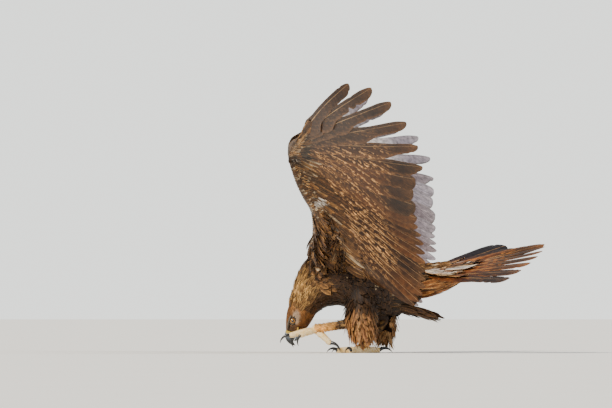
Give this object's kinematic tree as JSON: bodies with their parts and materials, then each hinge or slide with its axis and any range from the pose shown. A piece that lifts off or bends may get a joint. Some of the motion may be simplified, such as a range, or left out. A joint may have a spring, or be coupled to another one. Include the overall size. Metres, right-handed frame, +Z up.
{
  "type": "golden eagle",
  "caption": "Life-size golden eagle on one foot, wings raised, tail spread, the head bowed to the other, lifted foot.",
  "frame": {"origin": "on the floor, at the middle of the standing foot's sole", "axes": "+Z up, -X the way the bird faces, -Y its left side"},
  "size_m": [0.6876, 1.6141, 0.6751],
  "materials": {
    "feathers": "soft, slightly glossy vanes",
    "neck_feathers": "pale golden pointed hackles",
    "toe_skin": "dry scaled skin",
    "claw_horn": "polished black horn",
    "bill_horn": "blue-grey horn, darker at the tip, with a yellow cere",
    "eye_glass": "wet amber-brown eye"
  },
  "bodies": {
    "root": {"bill_lower": "bill_horn", "bill_upper": "bill_horn", "claw_left_hind": "claw_horn", "claw_left_inner": "claw_horn", "claw_left_middle": "claw_horn", "claw_left_outer": "claw_horn", "claw_right_hind": "claw_horn", "claw_right_inner": "claw_horn", "claw_right_middle": "claw_horn", "claw_right_outer": "claw_horn", "eye_left": "eye_glass", "eye_right": "eye_glass", "foot_left": "toe_skin", "foot_right": "toe_skin", "head": "neck_feathers", "neck": "neck_feathers", "shank_left": "feathers", "shank_right": "feathers", "tail": "feathers", "thigh_left": "feathers", "thigh_right": "feathers", "torso": "feathers", "wing_left": "feathers", "wing_right": "feathers"}
  },
  "joints": []
}
